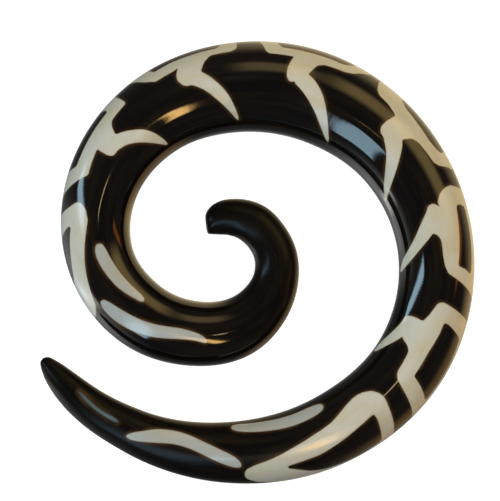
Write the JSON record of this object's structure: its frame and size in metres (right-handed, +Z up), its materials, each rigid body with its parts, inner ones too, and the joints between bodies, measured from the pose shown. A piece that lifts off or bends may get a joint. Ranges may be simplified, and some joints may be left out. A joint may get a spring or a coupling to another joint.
{
  "type": "spiral ear taper",
  "caption": "Tapered spiral horn ear taper lying flat, with pale bone ring, claw and stroke inlays let flush into its dark polished surface",
  "frame": {"origin": "middle of the footprint, on the floor the spiral lies on", "axes": "+Z up out of the front face, +X to the right of the picture, +Y to the top of the picture"},
  "size_m": [0.0472, 0.048, 0.0099],
  "materials": {
    "horn": "polished black horn",
    "bone": "polished pale bone"
  },
  "bodies": {
    "root": {"horn_spiral": "horn", "band_inlay_inner": "bone", "claw_inlay_1": "bone", "claw_inlay_2": "bone", "claw_inlay_3": "bone", "claw_inlay_4": "bone", "claw_inlay_5": "bone", "claw_inlay_6": "bone", "band_inlay_outer": "bone", "stroke_inlay_1": "bone", "stroke_inlay_2": "bone", "stroke_inlay_3": "bone", "stroke_inlay_4": "bone", "stroke_inlay_5": "bone"}
  },
  "joints": []
}
